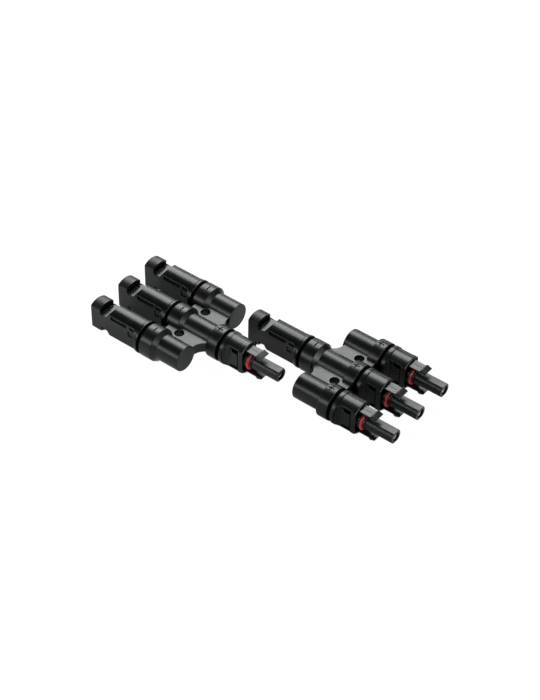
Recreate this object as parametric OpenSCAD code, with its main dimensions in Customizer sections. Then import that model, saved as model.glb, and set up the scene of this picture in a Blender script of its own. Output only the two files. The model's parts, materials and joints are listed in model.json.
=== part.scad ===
// Pair of three-way parallel branch connectors for solar cables.
// Unit A joins three hooded ports to one plug; unit B joins one hooded port to three plugs.
// Each port lies along X: hood mouths face -X, plug noses face +X, ports stand side by side
// along Y, and the units lie on the plane z = 0 with the origin under the middle of the pair.

/* [Layout] */
// Distance between neighbouring port axes
pitch = 25; // [24:0.5:27]
// Length of one unit, hood mouth to plug tip
unit_len = 124.4; // [124:0.2:128]
// How far unit B stands ahead of unit A along X
lead = 83.2; // [80:0.2:110]
// Distance between the middle port axes of the two units
unit_gap = 25.9; // [25:0.1:40]

/* [Hooded port] */
// Radius of the hood's round top and underside
hood_r = 10.4; // [10:0.1:10.7]
// Half width between the hood's flat sides
hood_half_w = 6.4; // [6.2:0.1:7]
// Length of the closed ring ahead of the latch windows
ring_len = 7.7; // [7.5:0.05:7.8]
// Place where the floors of the latch windows end
window_end = 12.9; // [12.6:0.1:13.4]
// Height of the window floors over the port axis
window_floor = 5.6; // [5.5:0.05:5.7]
// Place where the hood's flat sides start to flare
flare_start = 35.8; // [35:0.1:36.5]
// Rear face of the hood's flange
hood_end = 40.4; // [40:0.1:41]

/* [Plug] */
// Front face of the plug housing
face_x = 100.1; // [100:0.05:100.2]
// Outer radius of the plug housing
housing_r = 10.55; // [10.4:0.05:10.8]
// Half width between the housing's flat sides
housing_half_w = 7; // [6.9:0.05:7.1]
// Half width between the sunk panels beside the windows
panel_half_w = 6.2; // [6.1:0.05:6.4]
// Radius of the nose
nose_r = 4.5; // [4.4:0.05:4.55]
// Outer radius of the red ring on the nose
o_ring_r = 6.3; // [6.1:0.05:6.3]
// Thickness of the red ring's section
o_ring_t = 2.0; // [1.8:0.1:2]

/* [Latch arms] */
// Half width of an arm
latch_half_w = 3.5; // [3.2:0.1:3.6]
// Height of an arm's outer face over the port axis
latch_top = 8.3; // [8.1:0.05:8.35]
// Thickness of an arm
latch_t = 1.05; // [1:0.05:1.15]
// Height of the barb over the port axis
barb_top = 9.5; // [9.3:0.05:9.6]

/* [Branch body] */
// Radius of the collars that hold hoods and housings
collar_r = 10.85; // [10.7:0.05:11.2]
// Radius of the barrels
barrel_r = 8.5; // [8:0.1:9]
// Thickness of the webs between the barrels
web_t = 7; // [5:0.5:8]
// Radius of the fixing holes in the webs
hole_r = 3.1; // [2.2:0.05:3.2]
// Depth of the engraved polarity marks
mark_depth = 0.8; // [0.2:0.1:0.6]

/* [Contacts] */
// Radius of the contact pins
pin_r = 2; // [1.5:0.05:2]
// Radial gap between a contact pin and its socket
pin_gap = 0.05; // [0.02:0.01:0.1]

/* [Hidden] */
$fn = 96;

front = -1;
mid = 0;
rear = 1;

// Places along X, measured from the hood mouths of the unit
seal_len = 2.4;
hood_collar_x = hood_end + seal_len;
hood_collar_end = 51.8;
cone_end = 54.3;
spigot_len = 7;
plug_collar_x = 73.8;
plug_collar_end = 81.9;
housing_x = plug_collar_end + seal_len;
barrel_cap_x = 71;
mirror_x = 126.3;
web_tongue_x = 45.5;
web_end_x = 69.9;
hole_x = 55.46;
bus_x = 60;
bus_t = 2.5;
bus_half_h = 2;
bus_overhang = 2.5;

// Radii and small sizes
seal_r = 10.5;
spigot_r = 7.4;
fit_gap = 0.05;
contact_bore_r = 3.4;
shoulder_r = 3;
shank_r = 2.3;
neck_r = 5.8;
chamfer = 0.7;
web_arc_r = 9.2;
web_arc_y = 17;

// Hood mouth and windows
nose_bore_r = 4.6;
nose_bore_end = 24.3;
o_ring_bore_r = 6;
o_ring_bore_len = 4;
flange_bore_r = 5.3;
flange_bore_len = 5.3;
bore_cone_end = 6;
channel_half_w = 4.9;
channel_low = 6.3;
channel_high = 8.5;
channel_rear_low = 5.3;
ridge_len = 0.5;
slot_end = 9.8;
slot_floor = 5.1;
window_ramp = 1.5;
pin_tip_x = 8;
pin_shoulder_x = 26;

// Hood sides and flange
flare_len = 3.2;
flange_len = 1.9;
flange_rise = 0.7;
mouth_round = 1;
pocket_depth = 1;
square_depth = 0.6;
long_pocket = [16.4, 29.2, 5.25, 7.75];
short_pocket = [31.6, 36.8, 5.6, 7.3];
square_pocket = [30.2, 34.2, -0.2, 3.9];

// Plug front
housing_flange_len = 2.3;
housing_flare_x = 86.2;
panel_x = 88.9;
panel_end = 96.9;
block = [91.6, 96.2, 4.9];
side_window_outline = [[89.4, 7.5], [91.6, 5], [96.2, 5], [96.2, 7.5]];
side_window_depth = 3.4;
rim_round = 0.8;
cavity_x = 97.2;
cavity_r = 9.3;
cavity_half_w = 6.05;
seat_x = 101.8;
seat_end = 104;
nose_flange_r = 5.2;
nose_flange_end = 105.1;
nose_x = 105.5;
seat_r = o_ring_r - o_ring_t - fit_gap;
knuckle_x = 97.9;
knuckle_r = 0.75;
latch_mid_z = latch_top - latch_t / 2;
barb_x = face_x + ring_len + fit_gap;
barb_crest_x = barb_x + 1.1;
latch_tip_x = barb_x + 4.4;
latch_tip_low = 7.75;
arm_groove = [knuckle_x + 4.5, barb_x - 0.8, 0.15];
socket_r = 2.55;
socket_mouth_r = 2.9;
socket_mouth_x = unit_len - 2.8;
socket_end_x = unit_len - 1.3;
socket_lead_in = 0.35;
socket_bore_x = 107;
spring_x = 108.5;
spring_len = 4;
shoulder_x = 95;

// Contacts and their clips; a land is [from, to] along the contact
pin_land = [44.6, 56];
socket_land = [66.6, 79];
land_ramp = 0.6;
shoulder_len = 1.6;
pin_tip_r = 1;
pin_tip_len = 1.2;
clip_len = 3.4;
slit_half_w = 0.3;
spring_gap = 0.1;
spring_rim = 0.8;
spring_slit_half_w = 0.2;

// Marks on the collars
minus_x = 47.6;
plus_x = 77.6;
bar_half_w = 0.4;
bar_half_len = 2.1;

pair_len = lead + unit_len;
axis_h = collar_r;

// Puts a port of unit A, or of unit B, in its place
module in_a(row = mid) {
    translate([-pair_len / 2, row * pitch - unit_gap / 2, axis_h]) children();
}
module in_b(row = mid) {
    translate([lead - pair_len / 2, row * pitch + unit_gap / 2, axis_h]) children();
}

// Solid of revolution about X; each profile point is [x, radius]
module lathe(profile) {
    rotate([0, 90, 0]) rotate_extrude() polygon([for (p = profile) [p[1], p[0]]]);
}
module rod(x0, x1, r) {
    translate([x0, 0, 0]) rotate([0, 90, 0]) cylinder(h = x1 - x0, r = r);
}
module tube(x0, x1, r_out, r_in) {
    difference() {
        rod(x0, x1, r_out);
        rod(x0 - 1, x1 + 1, r_in);
    }
}
// Box from one corner to the opposite one
module box(low, high) {
    translate(low) cube(high - low);
}
// The same shape above and below the port axis, or on both of its sides
module above_and_below() {
    children();
    mirror([0, 0, 1]) children();
}
module both_sides() {
    children();
    mirror([0, 1, 0]) children();
}

// ---- Hooded port ----

module hood_outline() {
    // Flat sides that flare out to the round flange
    flare_end = flare_start + flare_len;
    far_y = collar_r + 1;
    linear_extrude(height = 4 * hood_r, center = true)
        polygon([
            [0, -hood_half_w], [flare_start, -hood_half_w], [flare_end, -far_y],
            [hood_end, -far_y], [hood_end, far_y],
            [flare_end, far_y], [flare_start, hood_half_w], [0, hood_half_w]
        ]);
}
// Window behind the ring, where the barb of a mating plug snaps in, and the way to it
module latch_window() {
    sky = collar_r + 1;
    ridge_end = ring_len + ridge_len;
    ramp_top_x = window_end + (sky - window_floor) / window_ramp;
    translate([0, collar_r, 0]) rotate([90, 0, 0])
        linear_extrude(height = 2 * collar_r)
            polygon([
                [ring_len, channel_rear_low], [ridge_end, channel_rear_low],
                [ridge_end, slot_floor], [slot_end, slot_floor], [slot_end, window_floor],
                [window_end, window_floor], [ramp_top_x, sky], [ring_len, sky]
            ]);
    box([-1, -channel_half_w, channel_low], [ring_len + 1, channel_half_w, channel_high]);
    box([bore_cone_end, -channel_half_w, channel_rear_low], [ring_len + 1, channel_half_w, channel_high]);
}
// Pocket in the hood's side; its place is [x from, x to, z from, z to]
module side_pocket(place, depth) {
    box([place[0], hood_half_w - depth, place[2]], [place[1], hood_half_w + 2, place[3]]);
}
module hood() {
    flange_x = hood_end - flange_len;
    color([0.09, 0.09, 0.1])
    difference() {
        union() {
            intersection() {
                lathe([
                    [0, 0], [0, hood_r - mouth_round], [mouth_round * 0.3, hood_r - mouth_round * 0.35],
                    [mouth_round, hood_r], [flange_x - flange_rise, hood_r], [flange_x, collar_r],
                    [hood_end, collar_r], [hood_end, 0]
                ]);
                hood_outline();
            }
            rod(hood_end - 1, hood_end + spigot_len + seal_len, spigot_r);
        }
        above_and_below() latch_window();
        both_sides() {
            side_pocket(long_pocket, pocket_depth);
            side_pocket(short_pocket, pocket_depth);
            side_pocket(square_pocket, square_depth);
        }
        lathe([
            [-1, 0], [-1, o_ring_bore_r], [o_ring_bore_len, o_ring_bore_r],
            [o_ring_bore_len, flange_bore_r], [flange_bore_len, flange_bore_r],
            [bore_cone_end, nose_bore_r], [nose_bore_end, nose_bore_r], [nose_bore_end, 0]
        ]);
        rod(nose_bore_end - 1, pin_shoulder_x + 1, socket_r + fit_gap);
        rod(pin_shoulder_x, hood_end + 20, contact_bore_r);
    }
}
module seal_ring(x0) {
    color([0.02, 0.02, 0.02])
    tube(x0, x0 + seal_len, seal_r, spigot_r + fit_gap);
}
module pin_contact() {
    color([0.78, 0.78, 0.76])
    lathe([
        [pin_tip_x, 0], [pin_tip_x, pin_tip_r], [pin_tip_x + pin_tip_len, pin_r],
        [nose_bore_end - land_ramp, pin_r], [nose_bore_end, socket_r],
        [pin_shoulder_x, socket_r], [pin_shoulder_x, shoulder_r],
        [pin_shoulder_x + shoulder_len, shoulder_r], [pin_shoulder_x + shoulder_len, shank_r],
        [pin_land[0] - land_ramp, shank_r], [pin_land[0], shoulder_r],
        [pin_land[1], shoulder_r], [pin_land[1] + land_ramp, shank_r], [bus_x, shank_r], [bus_x, 0]
    ]);
}
// Slotted ring that locks a contact behind its shoulder
module contact_clip(x0) {
    color([0.72, 0.73, 0.75])
    difference() {
        tube(x0, x0 + clip_len, contact_bore_r - fit_gap, shank_r + fit_gap);
        for (turn = [0 : 90 : 270])
            rotate([turn + 45, 0, 0])
                box([x0 + 1, -slit_half_w, 0], [x0 + clip_len + 1, slit_half_w, contact_bore_r + 1]);
    }
}

// ---- Plug ----

module housing_outline() {
    // Round flange, then flat sides with a sunk panel behind the rim
    far_y = collar_r + 1;
    half = [
        [housing_x, far_y], [housing_flare_x, far_y], [panel_x, panel_half_w],
        [panel_end, panel_half_w], [panel_end, housing_half_w], [face_x, housing_half_w]
    ];
    mirrored_half = [for (i = [len(half) - 1 : -1 : 0]) [half[i][0], -half[i][1]]];
    linear_extrude(height = 4 * housing_r, center = true) polygon(concat(half, mirrored_half));
}
// Opening beside each arm root, seen from the side of the housing
module side_window() {
    translate([0, housing_half_w + 3, 0]) rotate([90, 0, 0])
        linear_extrude(height = housing_half_w + 3 - side_window_depth)
            polygon(side_window_outline);
}
// Flat-sided hollow in the housing's front around the neck
module front_cavity() {
    intersection() {
        tube(cavity_x, face_x + 1, cavity_r, neck_r);
        box([cavity_x, -cavity_half_w, -housing_r], [face_x + 1, cavity_half_w, housing_r]);
    }
}
// Neck, seat of the red ring, the flange that holds the ring, and the nose
module plug_nose() {
    edge = 0.3;
    tip = 0.6;
    lathe([
        [cavity_x - 0.5, 0], [cavity_x - 0.5, neck_r], [seat_x - edge, neck_r],
        [seat_x, neck_r - edge], [seat_x, seat_r], [seat_end, seat_r],
        [seat_end, nose_flange_r], [nose_flange_end, nose_flange_r],
        [nose_flange_end, seat_r], [nose_x, seat_r], [nose_x, nose_r],
        [unit_len - tip, nose_r], [unit_len, nose_r - tip * 0.75], [unit_len, 0]
    ]);
}
module plug_housing() {
    flange_end = housing_x + housing_flange_len;
    color([0.1, 0.1, 0.11])
    difference() {
        union() {
            intersection() {
                lathe([
                    [housing_x, 0], [housing_x, collar_r], [flange_end, collar_r],
                    [flange_end + rim_round, housing_r], [face_x - rim_round, housing_r],
                    [face_x - rim_round * 0.3, housing_r - rim_round * 0.3],
                    [face_x, housing_r - rim_round], [face_x, 0]
                ]);
                housing_outline();
            }
            // Block between the two windows on each side
            both_sides() box([block[0], panel_half_w - 1, -block[2]], [block[1], housing_half_w, block[2]]);
            rod(housing_x - seal_len - spigot_len, housing_x + 1, spigot_r);
            plug_nose();
        }
        both_sides() above_and_below() side_window();
        front_cavity();
        above_and_below() knuckle(2 * latch_half_w + 0.6, knuckle_r + 0.07);
        rod(housing_x - 20, shoulder_x, contact_bore_r);
        rod(shoulder_x - 1, shoulder_x + shoulder_len + 0.1, shoulder_r + fit_gap);
        rod(shoulder_x, unit_len + 1, socket_r + fit_gap);
        rod(socket_mouth_x, unit_len + 1, socket_mouth_r);
    }
}
module o_ring() {
    color([0.75, 0.14, 0.16])
    translate([(seat_x + seat_end) / 2, 0, 0]) rotate([0, 90, 0])
        rotate_extrude() translate([o_ring_r - o_ring_t / 2, 0]) circle(d = o_ring_t);
}
module socket_contact() {
    color([0.78, 0.78, 0.76])
    difference() {
        lathe([
            [bus_x + bus_t, 0], [bus_x + bus_t, shank_r],
            [socket_land[0] - land_ramp, shank_r], [socket_land[0], shoulder_r],
            [socket_land[1], shoulder_r], [socket_land[1] + land_ramp, shank_r],
            [shoulder_x, shank_r], [shoulder_x, shoulder_r],
            [shoulder_x + shoulder_len, shoulder_r], [shoulder_x + shoulder_len, socket_r],
            [socket_end_x, socket_r], [socket_end_x, 0]
        ]);
        lathe([
            [socket_bore_x, 0], [socket_bore_x, pin_r + pin_gap],
            [socket_end_x - socket_lead_in, pin_r + pin_gap],
            [socket_end_x + 1, pin_r + pin_gap + socket_lead_in + 1], [socket_end_x + 1, 0]
        ]);
        rod(spring_x, spring_x + spring_len, pin_r + 0.35);
    }
}
// Slotted band that presses the mating pin inside the socket
module contact_spring() {
    color([0.85, 0.7, 0.35])
    difference() {
        tube(spring_x + spring_gap, spring_x + spring_len - spring_gap, pin_r + 0.3, pin_r + pin_gap);
        for (turn = [0 : 30 : 330])
            rotate([turn, 0, 0])
                box(
                    [spring_x + spring_rim, -spring_slit_half_w, 0],
                    [spring_x + spring_len - spring_rim, spring_slit_half_w, shank_r * 2]
                );
    }
}
// Round across an arm's root, and with more room the groove that it turns in
module knuckle(width, r) {
    translate([knuckle_x, 0, latch_mid_z]) rotate([90, 0, 0])
        cylinder(h = width, r = r, center = true);
}
// Springy arm with a barb at its end; it turns about the round at its root
module latch_arm() {
    low = latch_top - latch_t;
    color([0.12, 0.12, 0.13]) {
        difference() {
            translate([0, latch_half_w, 0]) rotate([90, 0, 0])
                linear_extrude(height = 2 * latch_half_w)
                    polygon([
                        [knuckle_x, low], [barb_crest_x, low], [latch_tip_x, latch_tip_low],
                        [latch_tip_x, latch_top], [barb_crest_x, barb_top], [barb_x, latch_top],
                        [knuckle_x, latch_top]
                    ]);
            // Fine groove along the middle of the arm
            box([arm_groove[0], -0.15, latch_top - arm_groove[2]], [arm_groove[1], 0.15, latch_top + 1]);
        }
        knuckle(2 * latch_half_w, knuckle_r);
    }
}

// ---- Branch body ----

// Web between the middle barrel and the next one, with a rounded inside corner at its end
module web() {
    difference() {
        box([web_tongue_x, 0, -web_t / 2], [plug_collar_x + 1, pitch, web_t / 2]);
        translate([web_end_x + web_arc_r, web_arc_y, 0])
            cylinder(h = 2 * web_t, r = web_arc_r, center = true);
        box([web_end_x, web_arc_y, -web_t], [plug_collar_x + 5, pitch + 1, web_t]);
    }
}
module hood_collar() {
    lathe([
        [hood_collar_x, 0], [hood_collar_x, collar_r], [hood_collar_end - 0.6, collar_r],
        [hood_collar_end, collar_r - 0.4], [cone_end, barrel_r], [cone_end + 4, barrel_r],
        [cone_end + 4, 0]
    ]);
}
module plug_collar() {
    lathe([
        [plug_collar_x - 4, 0], [plug_collar_x - 4, barrel_r], [plug_collar_x - 0.3, barrel_r],
        [plug_collar_x + 0.5, collar_r - 0.3], [plug_collar_x + 0.9, collar_r],
        [plug_collar_end, collar_r], [plug_collar_end, 0]
    ]);
}
// Barrel from x0 to its closed end at x1
module closed_barrel(x0, x1) {
    lathe([[x0, 0], [x0, barrel_r], [x1 - chamfer, barrel_r], [x1, barrel_r - chamfer], [x1, 0]]);
}
module mirrored() {
    translate([mirror_x, 0, 0]) mirror([1, 0, 0]) children();
}
module minus_mark(x0) {
    floor_z = collar_r - mark_depth;
    box([x0 - bar_half_w, -bar_half_len, floor_z], [x0 + bar_half_w, bar_half_len, collar_r + 1]);
}
module plus_mark(x0) {
    minus_mark(x0);
    floor_z = collar_r - mark_depth;
    box([x0 - bar_half_len, -bar_half_w, floor_z], [x0 + bar_half_len, bar_half_w, collar_r + 1]);
}
// Fixing hole in the web, the same distance from the two neighbouring barrels
module fixing_hole(x0) {
    translate([x0, pitch / 2, 0]) cylinder(h = 2 * web_t, r = hole_r, center = true);
}
module hood_socket() {
    rod(hood_collar_x - 1, hood_collar_x + spigot_len + 0.3, spigot_r + fit_gap);
    rod(hood_collar_x, bus_x, contact_bore_r);
}
module plug_socket() {
    rod(plug_collar_end - spigot_len - 0.3, plug_collar_end + 1, spigot_r + fit_gap);
    rod(bus_x + bus_t, plug_collar_end, contact_bore_r);
}
module bus_channel() {
    box(
        [bus_x - 0.02, -pitch - bus_overhang - 0.02, -bus_half_h - 0.02],
        [bus_x + bus_t + 0.02, pitch + bus_overhang + 0.02, bus_half_h + 0.02]
    );
}
module at_row(row) {
    translate([0, row * pitch, 0]) children();
}
module branch_body_a() {
    color([0.08, 0.08, 0.09])
    difference() {
        union() {
            for (row = [front, mid, rear]) at_row(row) hood_collar();
            for (row = [front, rear]) at_row(row) closed_barrel(cone_end, barrel_cap_x);
            rod(cone_end, plug_collar_x, barrel_r);
            plug_collar();
            both_sides() web();
        }
        for (row = [front, mid, rear]) at_row(row) {
            hood_socket();
            minus_mark(minus_x);
        }
        plug_socket();
        plus_mark(plus_x);
        both_sides() fixing_hole(hole_x);
        bus_channel();
    }
}
module branch_body_b() {
    color([0.08, 0.08, 0.09])
    difference() {
        union() {
            for (row = [front, mid, rear]) at_row(row) plug_collar();
            for (row = [front, rear]) at_row(row) mirrored()
                closed_barrel(mirror_x - plug_collar_x, barrel_cap_x + 0.5);
            rod(cone_end, plug_collar_x, barrel_r);
            hood_collar();
            mirrored() both_sides() web();
        }
        for (row = [front, mid, rear]) at_row(row) {
            plug_socket();
            plus_mark(plus_x);
        }
        hood_socket();
        minus_mark(minus_x);
        both_sides() fixing_hole(mirror_x - hole_x);
        bus_channel();
    }
}
// Copper bar that joins the contacts inside the webs
module busbar() {
    color([0.8, 0.45, 0.28])
    box([bus_x, -pitch - bus_overhang, -bus_half_h], [bus_x + bus_t, pitch + bus_overhang, bus_half_h]);
}

in_a() branch_body_a();  // a_branch_body
in_a() busbar();  // a_busbar
in_a(front) hood();  // a_front_hood
in_a(mid) hood();  // a_mid_hood
in_a(rear) hood();  // a_rear_hood
in_a(front) seal_ring(hood_end);  // a_front_hood_seal
in_a(mid) seal_ring(hood_end);  // a_mid_hood_seal
in_a(rear) seal_ring(hood_end);  // a_rear_hood_seal
in_a(front) pin_contact();  // a_front_pin
in_a(mid) pin_contact();  // a_mid_pin
in_a(rear) pin_contact();  // a_rear_pin
in_a(front) contact_clip(pin_shoulder_x + shoulder_len);  // a_front_pin_clip
in_a(mid) contact_clip(pin_shoulder_x + shoulder_len);  // a_mid_pin_clip
in_a(rear) contact_clip(pin_shoulder_x + shoulder_len);  // a_rear_pin_clip
in_a(mid) plug_housing();  // a_mid_housing
in_a(mid) seal_ring(plug_collar_end);  // a_mid_plug_seal
in_a(mid) o_ring();  // a_mid_o_ring
in_a(mid) socket_contact();  // a_mid_socket
in_a(mid) contact_clip(shoulder_x - clip_len);  // a_mid_socket_clip
in_a(mid) contact_spring();  // a_mid_contact_spring
in_a(mid) latch_arm();  // a_mid_latch_top
in_a(mid) mirror([0, 0, 1]) latch_arm();  // a_mid_latch_bottom
in_b() branch_body_b();  // b_branch_body
in_b() busbar();  // b_busbar
in_b(mid) hood();  // b_mid_hood
in_b(mid) seal_ring(hood_end);  // b_mid_hood_seal
in_b(mid) pin_contact();  // b_mid_pin
in_b(mid) contact_clip(pin_shoulder_x + shoulder_len);  // b_mid_pin_clip
in_b(front) plug_housing();  // b_front_housing
in_b(mid) plug_housing();  // b_mid_housing
in_b(rear) plug_housing();  // b_rear_housing
in_b(front) seal_ring(plug_collar_end);  // b_front_plug_seal
in_b(mid) seal_ring(plug_collar_end);  // b_mid_plug_seal
in_b(rear) seal_ring(plug_collar_end);  // b_rear_plug_seal
in_b(front) o_ring();  // b_front_o_ring
in_b(mid) o_ring();  // b_mid_o_ring
in_b(rear) o_ring();  // b_rear_o_ring
in_b(front) socket_contact();  // b_front_socket
in_b(mid) socket_contact();  // b_mid_socket
in_b(rear) socket_contact();  // b_rear_socket
in_b(front) contact_clip(shoulder_x - clip_len);  // b_front_socket_clip
in_b(mid) contact_clip(shoulder_x - clip_len);  // b_mid_socket_clip
in_b(rear) contact_clip(shoulder_x - clip_len);  // b_rear_socket_clip
in_b(front) contact_spring();  // b_front_contact_spring
in_b(mid) contact_spring();  // b_mid_contact_spring
in_b(rear) contact_spring();  // b_rear_contact_spring
in_b(front) latch_arm();  // b_front_latch_top
in_b(mid) latch_arm();  // b_mid_latch_top
in_b(rear) latch_arm();  // b_rear_latch_top
in_b(front) mirror([0, 0, 1]) latch_arm();  // b_front_latch_bottom
in_b(mid) mirror([0, 0, 1]) latch_arm();  // b_mid_latch_bottom
in_b(rear) mirror([0, 0, 1]) latch_arm();  // b_rear_latch_bottom
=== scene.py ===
"""Looks for a matched pair of three-way solar cable branch connectors.

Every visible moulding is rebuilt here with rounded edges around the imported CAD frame.
Builders work in millimetres in a port's own frame: x runs from the hood mouths towards the
plug tips, y and z are measured from the port axis. Pieces are scaled to metres when placed.
"""

import json
import math

import bmesh
import bpy
import numpy as np
from mathutils import Matrix, Quaternion, Vector
from mathutils.bvhtree import BVHTree


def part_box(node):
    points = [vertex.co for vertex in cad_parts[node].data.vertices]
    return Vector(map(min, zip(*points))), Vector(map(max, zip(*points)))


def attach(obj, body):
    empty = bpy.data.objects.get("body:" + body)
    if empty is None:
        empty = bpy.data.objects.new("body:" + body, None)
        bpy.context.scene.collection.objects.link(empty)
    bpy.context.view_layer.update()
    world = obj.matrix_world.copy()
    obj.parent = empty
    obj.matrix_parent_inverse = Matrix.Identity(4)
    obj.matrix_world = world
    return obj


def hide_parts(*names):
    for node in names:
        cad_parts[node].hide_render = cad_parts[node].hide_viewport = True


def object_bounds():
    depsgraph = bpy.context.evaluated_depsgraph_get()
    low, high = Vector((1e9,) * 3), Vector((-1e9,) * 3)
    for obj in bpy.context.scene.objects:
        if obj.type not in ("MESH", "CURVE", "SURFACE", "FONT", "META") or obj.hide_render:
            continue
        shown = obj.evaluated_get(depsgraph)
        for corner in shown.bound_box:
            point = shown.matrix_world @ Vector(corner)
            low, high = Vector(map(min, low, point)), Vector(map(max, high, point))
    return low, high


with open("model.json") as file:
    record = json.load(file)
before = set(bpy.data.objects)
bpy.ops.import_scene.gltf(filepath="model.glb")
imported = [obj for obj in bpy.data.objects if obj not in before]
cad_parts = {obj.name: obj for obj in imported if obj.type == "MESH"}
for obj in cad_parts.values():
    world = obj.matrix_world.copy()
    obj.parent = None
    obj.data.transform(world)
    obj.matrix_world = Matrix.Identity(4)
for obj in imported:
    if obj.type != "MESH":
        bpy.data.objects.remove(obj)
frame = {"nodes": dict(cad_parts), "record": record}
cad_low, cad_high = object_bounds()

MM = 0.001
HOOD_PORTS = ("a_front", "a_mid", "a_rear", "b_mid")
PLUG_PORTS = ("a_mid", "b_front", "b_mid", "b_rear")
ROWS = {"front": -1, "mid": 0, "rear": 1}

# ---- Places and sizes, from the frame where it has them, in millimetres ----


def node_box(node):
    """Lowest and highest corner of a CAD node, in millimetres."""
    low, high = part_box(node)
    return low / MM, high / MM


def node_centre(node):
    low, high = node_box(node)
    return (low + high) / 2


UNIT_ORIGIN = {}
for unit in "ab":
    mouth, centre = node_box(f"{unit}_mid_hood")[0], node_centre(f"{unit}_mid_hood")
    UNIT_ORIGIN[unit] = Vector((mouth.x, centre.y, centre.z))
PITCH = node_centre("a_mid_hood").y - node_centre("a_front_hood").y


def local_x(node):
    """Where a node of unit A starts and ends along its port."""
    low, high = node_box(node)
    return low.x - UNIT_ORIGIN["a"].x, high.x - UNIT_ORIGIN["a"].x


HOOD_END, HOOD_COLLAR_X = local_x("a_mid_hood_seal")
PLUG_COLLAR_END, HOUSING_X = local_x("a_mid_plug_seal")
TIP_X = local_x("a_mid_housing")[1]
LATCH_TIP_X = local_x("a_mid_latch_top")[1]
RING_X, RING_END = local_x("a_mid_o_ring")
SEAL_R = (node_box("a_mid_plug_seal")[1].z - node_box("a_mid_plug_seal")[0].z) / 2
COLLAR_R = (node_box("a_branch_body")[1].z - node_box("a_branch_body")[0].z) / 2
O_RING_R = (node_box("a_mid_o_ring")[1].z - node_box("a_mid_o_ring")[0].z) / 2
BARB_TOP = node_box("a_mid_latch_top")[1].z - UNIT_ORIGIN["a"].z
LATCH_HALF_W = (node_box("a_mid_latch_top")[1].y - node_box("a_mid_latch_top")[0].y) / 2

# Fits that hooded ports and plugs share
FIT_GAP = 0.05
SEAL_LEN = 2.4
SPIGOT_R = 7.4
SPIGOT_LEN = 7.0
CONTACT_BORE_R = 3.4
SOCKET_R = 2.55

# Hooded port; a pocket is x from and to, z from and to, and its depth
HOOD_R = 10.4
HOOD_HALF_W = 6.4
HOOD_CORNER = 0.8
RING_LEN = 7.7
RIDGE_END = 8.2
SLOT_END = 9.8
WINDOW_END = 12.9
WINDOW_FLOOR = 5.6
SLOT_FLOOR = 5.0
RAMP_RISE = 1.5
POCKETS = (
    (16.4, 29.2, 5.25, 7.75, 1.0),
    (31.6, 36.8, 5.6, 7.3, 1.0),
    (30.2, 34.2, -0.2, 3.9, 0.6),
)
HOOD_MOUTH_ROUND = 0.8
FLARE_START = 35.2
FLARE_LEN = 3.8
FLARE_BEND = 1.6
FLANGE_LEN = 2.2
FLANGE_RISE = 0.7
FLANGE_ROUND = 0.3
CHANNEL_X = 6.0
CHANNEL_HALF_W = 4.9
CHANNEL_LOW = 6.3
CHANNEL_HIGH = 8.5
RING_BORE_R, RING_BORE_LEN = 6.0, 4.0
FLANGE_BORE_R, FLANGE_BORE_LEN = 5.3, 5.3
NOSE_BORE_R, NOSE_BORE_X, NOSE_BORE_END = 4.6, 6.0, 24.3
PIN_SHOULDER_X = 26.5

# Plug
HOUSING_R = 10.55
HOUSING_HALF_W = 7.0
PANEL_HALF_W = 6.2
FACE_X = 100.1
PANEL_X, PANEL_END = 88.9, 96.9
BLOCK_X, BLOCK_END, BLOCK_HALF_H = 91.6, 96.2, 4.9
RIM_ROUND = 0.8
BLOCK_INSIDE = 5.0
HOUSING_FLANGE_LEN = 2.3
HOUSING_STEP_LEN = 1.1
WINDOW_X, WINDOW_LOW, WINDOW_HIGH = 89.4, 5.0, 7.5
WINDOW_INSIDE, WINDOW_OUTSIDE = 3.4, 9.9
SHOULDER_X = 95
MOUTH_DEPTH = 2.8
MOUTH_GAP = 0.35
CAVITY_X = 97.2
CAVITY_R = 9.3
CAVITY_HALF_W = 6.05
NECK_R = 5.8
NOSE_R = 4.5
NOSE_FLAT = 3.85
SEAT_R = 4.25
SEAT_X, SEAT_END = 101.8, 104.0
FLANGE_R, FLANGE_END = 5.2, 105.1
NOSE_X = 105.5

# Latch arm
KNUCKLE_X = 97.9
KNUCKLE_R = 0.75
KNUCKLE_GAP = 0.07
LATCH_TOP = 8.3
LATCH_T = 1.05
BARB_X, CREST_X = 107.85, 108.95
TIP_LOW = 7.75
GROOVE_HALF_W = 0.15

# Branch body
BARREL_R = 8.5
A_CAP_ROUND, B_CAP_ROUND = 0.6, 1.0
COLLAR_HOOD_END = 51.8
CONE_END = 54.3
PLUG_COLLAR_X = 73.8
CAP_X = 71.0
MIRROR_X = 126.3
WEB_HALF_T = 3.5
WEB_TONGUE_X = 45.5
WEB_END_X = 69.9
WEB_ARC_R = 9.2
WEB_ARC_Y = 17.0
HOLE_X = 55.46
HOLE_R = 3.1
PIN_BORE_END = 60
SOCKET_BORE_X = 62.5
LAP_START, LAP_END = 58, 60
B_LAP_START, B_LAP_END = 68, 70
RECESS_GAP = 0.3
MINUS_X = 47.6
PLUS_X = 77.6
MARK_DEPTH = 0.8
BAR_HALF_W = 0.4
BAR_HALF_LEN = 2.1

# ---- Mesh building ----


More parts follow.
